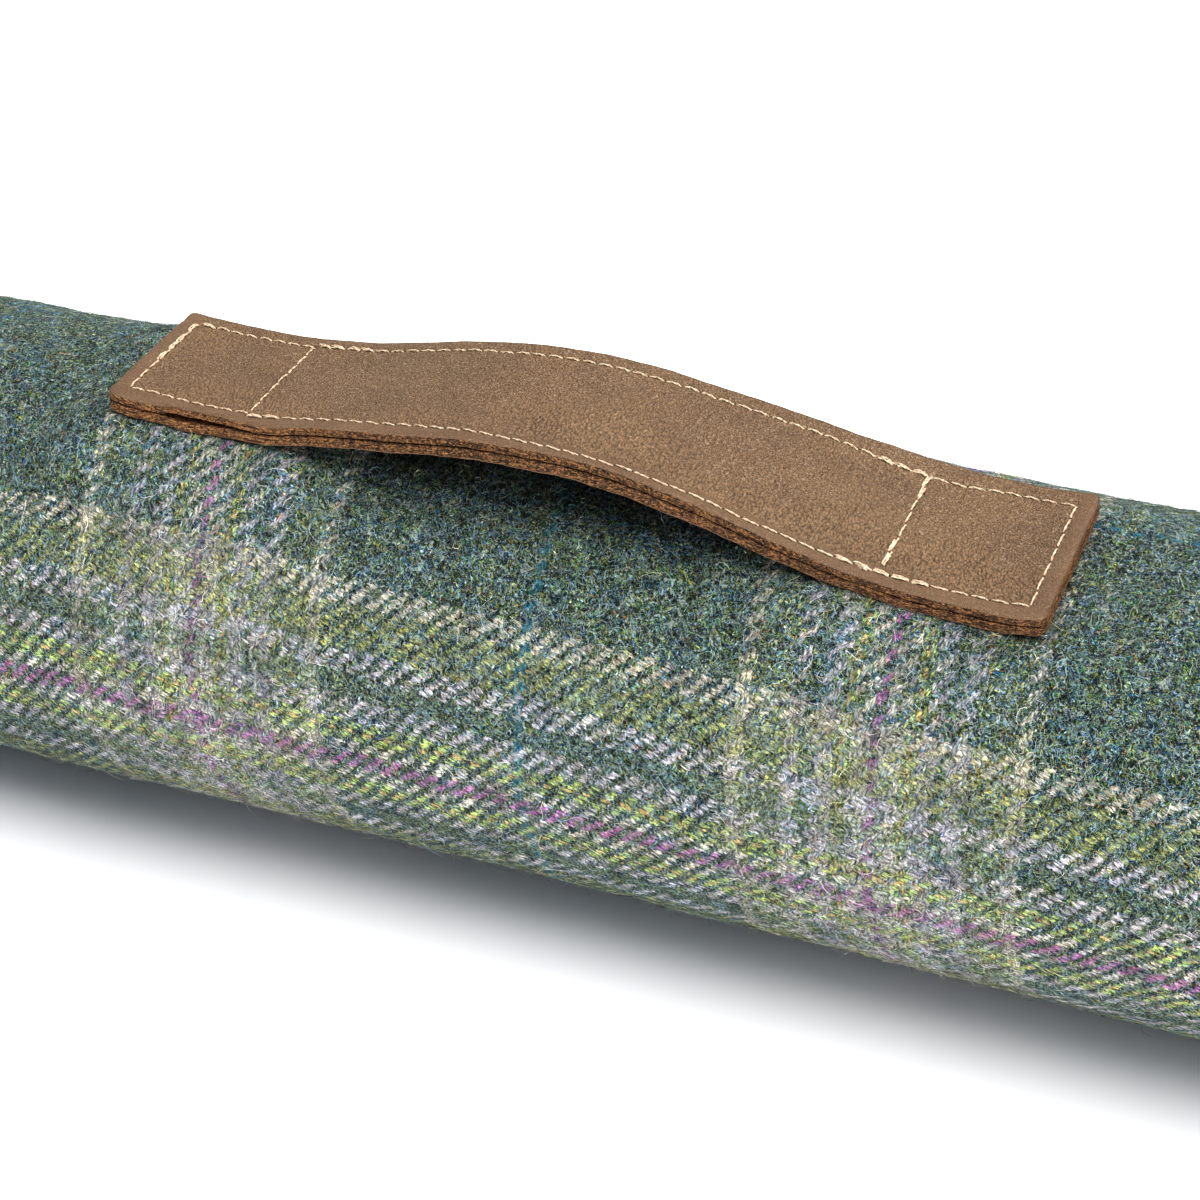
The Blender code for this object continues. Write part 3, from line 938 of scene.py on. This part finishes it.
def leather_layer(name, top_side, seed, step):
    """One layer of the strap. Its rings run from end to end, and each end is closed by a raw cut face."""
    insets, depths, raw = layer_outline(top_side, leather_thickness).T
    count = len(insets)
    ends = half_length - worn_radius * (1 - np.cos(np.radians([0, 25, 50, 75])))
    inner = np.arange(-half_length + 1.2 * worn_radius, half_length - 1.2 * worn_radius, step)
    along_steps = np.concatenate([-ends, inner, ends[::-1]])
    last = len(along_steps) - 1
    along = np.repeat(along_steps[:, None], count, 1)
    far_rim, near_rim_here = rim_width(along, 1), rim_width(along, -1)
    across = np.where(insets < half_width, far_rim - insets, strap_width - insets - near_rim_here)
    shares = np.clip(insets / strap_width, 0.0, 1.0)
    inside = (insets > 3 * mm) & (insets < strap_width - 3 * mm)
    across = np.where(inside, far_rim * (1 - shares) - near_rim_here * shares, across)
    depth = np.maximum(depths[None, :], set_back(along, worn_radius))
    from_top = depth if top_side else strap_thickness - depth
    near_share = np.clip(1 - (across + near_rim_here) / (5 * mm), 0.0, 1.0)
    across = across + cut_slant(along) * (1 - from_top / strap_thickness) * near_share
    offset = 0.22 * mm * ripple(along, (37 * mm, 17 * mm, 6.1 * mm), (seed, 2.0 * seed, 3.0 * seed))
    across = across + offset * near_share
    rough = np.random.default_rng(seed).normal(0.0, 0.045, along.shape) * mm * raw[None, :]
    long_fibres = ripple(along + 3 * depth, (2.9 * mm, 1.7 * mm, 7.3 * mm), (0.5, 1.5, 2.5)) * 0.07 * mm
    rim = (insets < 0.01 * mm) | (insets > strap_width - 0.01 * mm)
    across = across + np.sign(across) * (rough - np.abs(long_fibres)) * rim
    if top_side:
        height = -depth + top_relief(along, across)
    else:
        height = -strap_thickness + depth + under_relief(along, across)
    rings = on_strap(along, across, height)

    # The first and last ring are doubled, for the cut faces of the ends
    ring_at, point_at = grid_numbers(np.arange(1, last + 1), np.arange(count))
    quads = np.stack([(ring_at + r) * count + (point_at + c) % count for r, c in corner_steps], 1)
    around_outline = np.concatenate([[0.0], np.cumsum(np.hypot(np.diff(insets), np.diff(depths)))])
    past_last = around_outline[-1] + 0.6 * mm
    corner_places = [
        np.stack([along_steps[ring_at + r - 1], np.append(around_outline, past_last)[point_at + c]], 1)
        for r, c in corner_steps
    ]
    corner_places = np.stack(corner_places, 1)
    if top_side:
        quads, corner_places = quads[:, ::-1], corner_places[:, ::-1]
    piece = new_piece(name, np.concatenate([rings[:1], rings, rings[-1:]]).reshape(-1, 3), quads)
    cut_end = np.ones((1, count))
    add_mark(piece, "raw", np.concatenate([cut_end, np.repeat(raw[None, :], last + 1, 0), cut_end]))
    add_map(piece, "strap", corner_places)
    cap_ends(piece, last + 3, count)
    return piece


def cap_ends(piece, rings_of_piece, count):
    """Closes both ends with a raw cut face of their own."""
    bm = bmesh.new()
    bm.from_mesh(piece.data)
    bm.verts.ensure_lookup_table()
    map_layer = bm.loops.layers.uv["strap"]
    for first in (0, (rings_of_piece - 1) * count):
        face = bm.faces.new([bm.verts[first + i] for i in range(count)])
        for loop in face.loops:
            loop[map_layer].uv = (loop.vert.co.y, loop.vert.co.z)
    bmesh.ops.recalc_face_normals(bm, faces=bm.faces)
    bm.to_mesh(piece.data)
    bm.free()
    piece.data.shade_smooth()
    piece.data.set_sharp_from_angle(angle=math.radians(50))


def leather(name, face_tone):
    """Waxed hide: a fine pebbled grain on the face, coarser where the strap has bent and smooth outside the
    near and end rows of stitches, and raw matted fibres where it is cut. On its map, in millimetres, s runs
    from the strap's middle and t from its far edge over the face to the near one, and past 100 on the ends'
    cut faces."""
    finish = Finish(name, 0.6)
    s, t = finish.place("strap")
    raw = finish.mark("raw")
    swirl = finish.cloud(s, t, 1.3, 1.3, 1.0, 23.0, three=True)
    bent = swirl[0] * 0.5 + s, swirl[1] * 0.5 + t
    _, groove, pebble_dice = finish.fibres(*bent, 0.6, 0.46, 0.36, 29.0)
    _, fine_groove, fine_dice = finish.fibres(*bent, -0.5, 0.30, 0.24, 47.0)
    _, fold_groove, fold_dice = finish.fibres(*bent, 1.35, 0.95, 0.52, 71.0)
    flexed = finish.cloud(s, t, 26, 17, 1.0, 12.0) + finish.rise(t, 18.0, 34.0, 0.0, 0.22)
    past_end_row = finish.rise(finish.reckon("ABSOLUTE", s), 107.0, 108.2)
    outside_row = finish.reckon("MAXIMUM", past_end_row, finish.rise(t, 32.2, 33.4))
    folded = finish.rise(flexed, 0.46, 0.76, 0.10, 1.0) * (outside_row * -0.75 + 1.0)
    # Painted light and shade that follow the grain's relief: each pebble is lighter in its middle and darker
    # in the groove round it, as are the coarser pebbles where the strap bent and, more faintly, the rubbed
    # margin
    face = finish.lit(face_tone, groove, 0.20, 0.60, 1.22, 0.54)
    face = finish.lit(face, fine_groove, 0.24, 0.58, 1.16, 0.60)
    pore = fine_dice[1] < 0.16
    face = finish.mix(pore * 0.65, face, dyed(60, 36, 20))
    # Painted highlights: pale glints on some pebbles
    glint = fine_dice[0] * pebble_dice[0] > 0.62
    face = finish.mix(glint * 0.40, face, dyed(180, 162, 142))
    pebbled = finish.lit(face_tone, fold_groove, 0.16, 0.64, 1.34, 0.42)
    pebbled = finish.lit(pebbled, fold_dice[0], 0.0, 1.0, 0.78, 1.22)
    face = finish.mix(folded * 0.50, face, pebbled)
    rubbed = finish.lit(dyed(111, 88, 67), fine_groove, 0.20, 0.60, 1.06, 0.84)
    face = finish.mix(outside_row * 0.62, face, rubbed)
    face = finish.lit(face, finish.cloud(s, t, 19, 14, 2.0, 3.0), 0.3, 0.7, 0.94, 1.06)

    seams = finish.cloud(s, t, 4.0, 0.30, 3.0, 7.0, 0.8)
    _, mat_edge, mat_dice = finish.fibres(*bent, 0.25, 0.80, 0.26, 61.0)
    _, crumb_edge, crumb_dice = finish.fibres(*bent, -0.4, 0.34, 0.26, 83.0)
    matted = (
        (0.0, dyed(56, 36, 22)),
        (0.35, dyed(92, 66, 44)),
        (0.75, dyed(116, 88, 60)),
        (1.0, dyed(138, 100, 64)),
    )
    # The cut's streaks and matted fibres are painted darker where they sink in the relief and lighter where
    # they stand out, painted shade and light
    cut = finish.lit(finish.ramp(mat_dice[0], matted), seams, 0.36, 0.62, 0.55, 1.25)
    cut = finish.lit(cut, s, -80.0, -30.0, 1.55, 1.0)
    # The ends' cut faces, past 100 on the map, are painted twice as light: a painted highlight
    cut = finish.lit(cut, t, 95.0, 100.0, 1.0, 2.0)
    cut = finish.lit(cut, mat_edge, 0.2, 0.66, 1.15, 0.55)
    # Pale flecks of fibre, and near-black specks of painted shade for the gaps between the fibres
    fleck, gap = crumb_dice[0] < 0.14, crumb_dice[0] > 0.86
    cut = finish.mix(fleck * 0.65, cut, dyed(158, 114, 72))
    cut = finish.mix(gap * 0.80, cut, dyed(24, 15, 10))

    grain = folded * fold_groove * -2.0 + (groove * -1.5 + fine_groove * -0.8)
    fibrous = crumb_edge * -1.6 + (mat_edge * -2.2 + seams * 3.0)
    finish.bumps(finish.between(raw, grain, fibrous), 0.12 * mm)
    roughness = finish.between(raw, finish.rise(pebble_dice[1], 0.0, 1.0, 0.36, 0.60), 0.9)
    colour = finish.mix(raw, face, cut)
    finish.give({"Base Color": colour, "Roughness": roughness, "Specular IOR Level": 0.40})
    return finish.material


strap_layers = (
    ("leather_top", True, 5, 0.85 * mm, "handle_top_layer", "leather_face", dyed(123, 99, 74)),
    ("leather_under", False, 6, 1.7 * mm, "handle_under_layer", "leather_back", dyed(104, 78, 54)),
)
for name, top_side, seed, step, node, slot_name, tone in strap_layers:
    layer = leather_layer(name, top_side, seed, step)
    layer.data.materials.append(leather(slot_name, tone))
    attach(layer, "root")
    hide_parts(node)


# ---- Stitches -----------------------------------------------------------------------------------------
# Thick waxed two-ply thread, cream, in a lockstitch round the strap's edge with a line across each
# sewn-down end. Where a line starts or stops, it is sewn over twice, and its ends are melted to a knot.

thread_radius = 0.14 * mm
ply_offset = 0.11 * mm
stitch_points = 11
ply_sides = 5
turns_a_stitch = 2.5
sewing = np.random.default_rng(3)

# Each row: where it starts and ends (along, across), its stitches, and the share of it from which and up
# to which it is sewn twice
near, far = -line_across, line_across
stitch_rows = (
    ((-line_along, near), (-inner_line, near), 8, ()),
    ((-line_along, near), (-line_along, far), 7, (0.5, 1.0)),
    ((-line_along + 1.2 * mm, far), (-inner_line, far), 8, (0.0, 0.1)),
    ((-inner_line, near + 0.8 * mm), (-inner_line, far), 7, ()),
    ((-inner_line, near - 1.5 * mm), (-inner_line + 22 * mm, near), 5, (0.0, 0.4)),
    ((-inner_line + 22 * mm, near), (inner_line - 10 * mm, near), 29, ()),
    ((inner_line - 10 * mm, near), (inner_line + 2 * mm, near - 0.3 * mm), 3, (0.0, 1.0)),
    ((inner_line + 2 * mm, near - 0.2 * mm), (line_along, near), 7, (0.0, 0.3)),
    ((-inner_line + 0.5 * mm, far + 0.5 * mm), (-inner_line + 16 * mm, far), 4, (0.0, 1.0)),
    ((-inner_line + 16 * mm, far), (inner_line - 12 * mm, far), 30, ()),
    ((inner_line - 12 * mm, far), (inner_line, far), 3, (0.0, 1.0)),
    ((inner_line + 0.8 * mm, far), (line_along, far), 8, ()),
    ((line_along, far), (line_along, near), 7, ()),
    ((inner_line, far), (inner_line, near + 2.4 * mm), 7, (0.0, 0.3)),
    ((inner_line - 0.3 * mm, near + 9.5 * mm), (inner_line - 0.3 * mm, near + 2.0 * mm), 2, (0.0, 1.0)),
)


def stitch_line(start, end, bow, lift):
    """Centre line of one stitch that rises out of one needle hole and dives into the next."""
    share = np.linspace(0.0, 1.0, stitch_points)
    start, end = np.array(start), np.array(end)
    way = end - start
    aside = np.array([-way[1], way[0]]) / np.linalg.norm(way)
    slant = (0.5 - share) * 0.30 * mm
    flat = start + way * (0.02 + 0.96 * share)[:, None]
    flat = flat + aside * (slant + bow * np.sin(np.pi * share))[:, None]
    height = np.sin(np.pi * share) ** 0.55 * (0.42 * mm + lift) - 0.22 * mm
    return flat, height


def on_top(flat, height):
    across = flat[:, 1] + row_shift(flat[:, 0], flat[:, 1])
    return on_strap(flat[:, 0], across, height + top_relief(flat[:, 0], across))


def all_stitches():
    """Centre lines of every stitch on the top face, and the needle holes between them."""
    lines, holes = [], []
    for start, end, count, twice in stitch_rows:
        start, end = np.array(start), np.array(end)
        ends = [start + (end - start) * k / count for k in range(count + 1)]
        crosswise = abs(end[0] - start[0]) < abs(end[1] - start[1])
        for k in range(count):
            begin, stop = [place + sewing.normal(0, 0.07, 2) * mm for place in ends[k : k + 2]]
            bow, lift = sewing.normal(0, 0.06) * mm, sewing.normal(0, 0.03) * mm
            lines.append(on_top(*stitch_line(begin, stop, bow, lift)))
            holes += ends[k : k + 2]
            if twice and twice[0] <= (k + 0.5) / count <= twice[1]:
                for spread in (0.36, -0.32):
                    aside = np.array([sewing.normal(0, 0.5), spread]) * mm
                    aside = aside[::-1] if crosswise else aside
                    again = stitch_line(begin + aside, stop + 0.5 * aside, 0.1 * mm, 0.14 * mm)
                    lines.append(on_top(*again))
    return lines, holes


def underside_stitches():
    """The same lines seen from below, where the arch stands free."""
    lines = []
    for across in (near, far):
        for start in np.arange(-inner_line + stitch_pitch, inner_line - stitch_pitch, stitch_pitch):
            flat, height = stitch_line((start, across), (start + stitch_pitch, across), 0.0, 0.0)
            depth = -strap_thickness - height
            lines.append(on_strap(flat[:, 0], flat[:, 1], depth + under_relief(flat[:, 0], flat[:, 1])))
    return lines


def two_ply(lines):
    """The two plies of each thread, wound round its centre line."""
    lines = np.array(lines)
    ahead = unit(np.gradient(lines, axis=1))
    first_side = unit(np.cross(ahead, np.array([0.0, 0.1, 1.0])))
    second_side = np.cross(ahead, first_side)
    start = sewing.uniform(0, 2 * np.pi, (len(lines), 1))
    angle = start + np.linspace(0, 2 * np.pi * turns_a_stitch / 2, lines.shape[1])[None, :]
    plies = []
    for turn in (angle, angle + np.pi):
        offset = first_side * np.cos(turn)[..., None] + second_side * np.sin(turn)[..., None]
        plies.append(lines + offset * ply_offset)
    return np.concatenate(plies)


def tubes(lines, radius, sides):
    """Points and faces of closed tubes along lines of equal length, thin at both ends."""
    count, stations_here = lines.shape[:2]
    ahead = unit(np.gradient(lines, axis=1))
    first_side = unit(np.cross(ahead, np.array([0.31, 0.22, 0.92])))
    second_side = np.cross(ahead, first_side)
    turn = np.linspace(0, 2 * np.pi, sides, endpoint=False)
    thin = np.ones(stations_here)
    thin[0] = thin[-1] = 0.15
    ring = first_side[:, :, None] * np.cos(turn)[:, None] + second_side[:, :, None] * np.sin(turn)[:, None]
    points = lines[:, :, None] + ring * radius * thin[None, :, None, None]
    tube, station, side = grid_numbers(np.arange(count), np.arange(stations_here - 1), np.arange(sides))
    first = (tube * stations_here + station) * sides
    faces = [first + r * sides + (side + c) % sides for r, c in corner_steps]
    return points.reshape(-1, 3), np.stack(faces, 1)


def speckled(name, roughness, spots_a_metre, tones, depth):
    """A finish of fine random spots of these tones, with a relief this deep."""
    finish = Finish(name, roughness)
    noise = finish.add("TexNoise")
    noise.inputs["Scale"].default_value = spots_a_metre
    finish.feed(noise.inputs["Vector"], finish.add("TexCoord").outputs["Object"])
    finish.give({"Base Color": finish.ramp(noise.outputs["Fac"], tones)})
    finish.bumps(noise.outputs["Fac"], depth)
    return finish.material


stitch_lines, needle_holes = all_stitches()
thread_points, thread_faces = tubes(two_ply(stitch_lines + underside_stitches()), thread_radius, ply_sides)
stitches = new_piece("stitches", thread_points, thread_faces)
thread_tones = ((0.3, dyed(162, 137, 112)), (0.5, dyed(202, 182, 156)), (0.7, dyed(232, 219, 200)))
stitches.data.materials.append(speckled("waxed_thread", 0.55, 2600, thread_tones, 0.08 * mm))
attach(stitches, "root")

hole_radius = 0.22 * mm
hole_sides = 8


def hole_shade_piece():
    """Dark discs of painted shade on the leather where the needle went through."""
    places = np.unique(np.round(np.array(needle_holes), 4), axis=0)
    places[:, 1] += row_shift(places[:, 0], places[:, 1])
    turn = np.linspace(0, 2 * np.pi, hole_sides, endpoint=False)
    along = places[:, 0, None] + hole_radius * np.cos(turn)
    across = places[:, 1, None] + 0.8 * hole_radius * np.sin(turn)
    rim = on_strap(along, across, top_relief(along, across) + 0.02 * mm)
    middle = on_strap(places[:, :1], places[:, 1:], top_relief(places[:, :1], places[:, 1:]) + 0.06 * mm)
    points = np.concatenate([rim, middle], 1)
    base = (np.arange(len(places)) * (hole_sides + 1))[:, None]
    side = np.arange(hole_sides)[None, :]
    fans = np.stack([base + side, base + (side + 1) % hole_sides, base + hole_sides + 0 * side], -1)
    return new_piece("needle_holes", points.reshape(-1, 3), (), fans.reshape(-1, 3))


holes = hole_shade_piece()
# The dark tones of these discs are painted shade for the needle holes
hole_shade_tones = ((0.3, dyed(30, 20, 14)), (0.7, dyed(58, 38, 26)))
holes.data.materials.append(speckled("needle_hole", 0.9, 1000, hole_shade_tones, 0.0))
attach(holes, "root")

# Each knot: its place along and across the strap, and its radius
knots = (
    (inner_line - 3.4 * mm, near - 0.9 * mm, 0.75 * mm),
    (inner_line + 0.3 * mm, far - 1.3 * mm, 0.60 * mm),
)


def knot_piece():
    """Melted thread ends: small flattened lumps."""
    bm = bmesh.new()
    for along, across, radius in knots:
        lump = bmesh.ops.create_icosphere(bm, subdivisions=3, radius=1.0)["verts"]
        spot = on_strap(*np.array([along, across, 0.10 * mm + top_relief(along, across)]))
        for vert in lump:
            uneven = 1.0 + 0.16 * math.sin(5 * vert.co.x + 2 * vert.co.z) + 0.12 * math.sin(7 * vert.co.y)
            shape = Vector((1.35 * vert.co.x, vert.co.y, 0.55 * vert.co.z))
            vert.co = Vector(spot) + shape * radius * uneven
    mesh = bpy.data.meshes.new("thread_knots")
    bm.to_mesh(mesh)
    bm.free()
    return linked("thread_knots", mesh)


melted = knot_piece()
knot_tones = ((0.35, dyed(120, 100, 84)), (0.65, dyed(186, 170, 152)))
melted.data.materials.append(speckled("melted_thread", 0.45, 1500, knot_tones, 0.15 * mm))
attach(melted, "root")


# ---- Floor, light and camera --------------------------------------------------------------------------
# A plain white floor under soft light from above, from the right and low in front, and the photograph's
# view of the handle.

floor_half_size = 6.0
corner_signs = ((-1, -1), (1, -1), (1, 1), (-1, 1))
floor_corners = [(x * floor_half_size, y * floor_half_size, 0.0) for x, y in corner_signs]
floor = new_piece("floor", floor_corners, [[0, 1, 2, 3]])
floor_finish = Finish("white_floor", 0.8)
floor_finish.give({"Base Color": (0.93, 0.93, 0.955, 1.0), "Specular IOR Level": 0.1})
floor.data.materials.append(floor_finish.material)

scene = bpy.context.scene
world = bpy.data.worlds.new("studio")
world.use_nodes = True
world.node_tree.nodes["Background"].inputs["Color"].default_value = (0.90, 0.95, 1.10, 1.0)
world.node_tree.nodes["Background"].inputs["Strength"].default_value = 0.33
scene.world = world


def soft_box(name, at, aim, size, power, tint):
    """A square soft light that faces a place."""
    light = bpy.data.lights.new(name, "AREA")
    light.shape = "SQUARE"
    light.size = size
    light.energy = power
    light.color = tint
    stand = bpy.data.objects.new(name, light)
    stand.location = at
    stand.rotation_euler = (Vector(at) - Vector(aim)).to_track_quat("Z", "Y").to_euler()
    stand.visible_camera = False
    scene.collection.objects.link(stand)


soft_box("overhead_light", (0.06, 0.22, 1.50), (0.0, 0.0, 0.1), 2.0, 60.0, (1.0, 0.99, 0.96))
soft_box("side_light", (0.88, -0.15, 0.28), (0.10, 0.0, 0.10), 0.6, 6.0, (1.0, 0.98, 0.95))
soft_box("floor_card", (0.05, -0.36, 0.005), (0.05, -0.30, 0.60), 0.5, 12.0, (1.0, 1.0, 1.0))

camera_yaw = math.radians(-27.85)
camera_pitch = math.radians(39.61)
camera_roll = math.radians(-6.96)
ahead = Vector((math.sin(camera_yaw), math.cos(camera_yaw), 0.0))
level = Vector((math.cos(camera_yaw), -math.sin(camera_yaw), 0.0))
sight = ahead * math.cos(camera_pitch) - Vector((0.0, 0.0, math.sin(camera_pitch)))
upright = level.cross(sight)
right_hand = level * math.cos(camera_roll) + upright * math.sin(camera_roll)
overhead = upright * math.cos(camera_roll) - level * math.sin(camera_roll)
camera_place = Matrix((right_hand, overhead, -sight)).transposed().to_4x4()
camera_place.translation = (0.2349268, -0.4445631, 0.4820451)
camera_data = bpy.data.cameras.new("camera")
camera_data.lens = 85.7
camera = bpy.data.objects.new("camera", camera_data)
camera.matrix_world = camera_place
scene.collection.objects.link(camera)
scene.camera = camera
scene.view_settings.view_transform = "Standard"
scene.view_settings.look = "High Contrast"
scene.view_settings.exposure = -0.4
